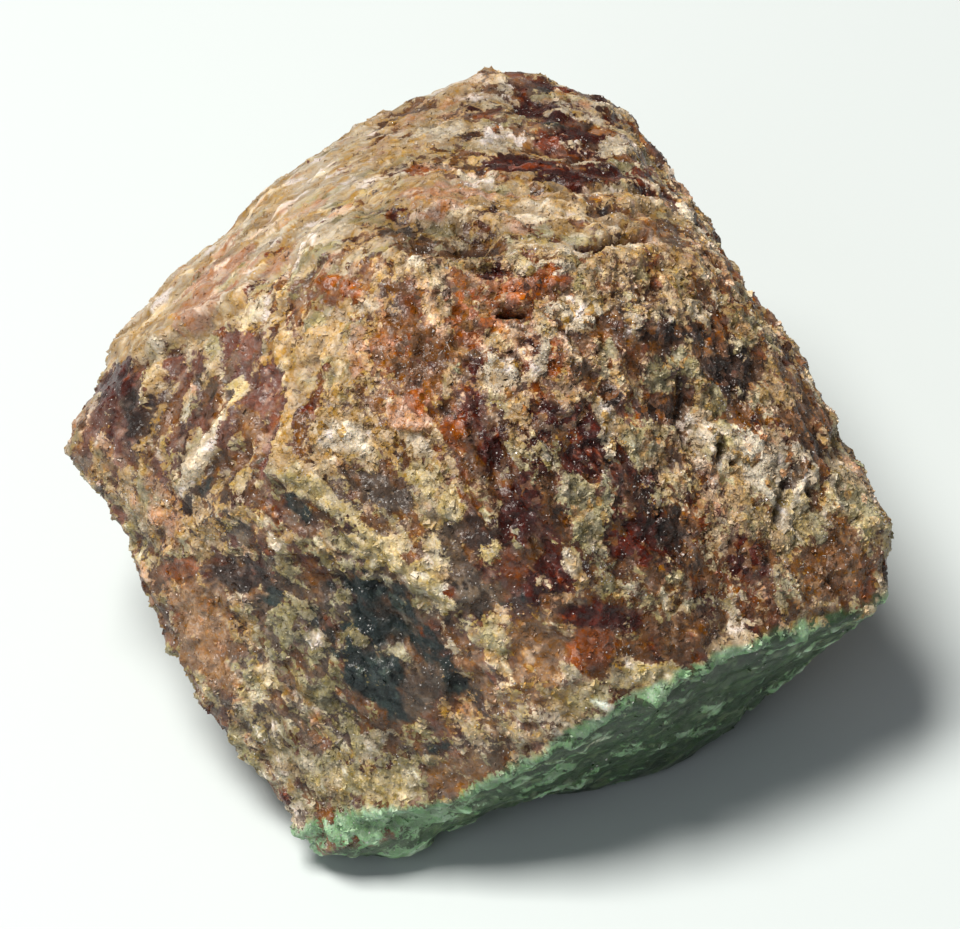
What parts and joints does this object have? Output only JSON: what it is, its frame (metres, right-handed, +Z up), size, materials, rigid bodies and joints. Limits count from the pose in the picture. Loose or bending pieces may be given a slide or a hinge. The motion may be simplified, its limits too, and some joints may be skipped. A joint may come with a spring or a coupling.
{
  "type": "garnet crystal",
  "caption": "Rough blocky garnet crystal in one piece, with a granular red-brown and ochre surface, resting on its flattest side.",
  "frame": {"origin": "centre of the bounding box, on the plane that the crystal rests on", "axes": "+Z up, +X along the crystal's length, -Y towards the broad front face"},
  "size_m": [0.0394, 0.0354, 0.0263],
  "materials": {
    "garnet": "rough, granular, red-brown with ochre, cream and wine-red grains"
  },
  "bodies": {
    "root": {"garnet_crystal": "garnet"}
  },
  "joints": []
}
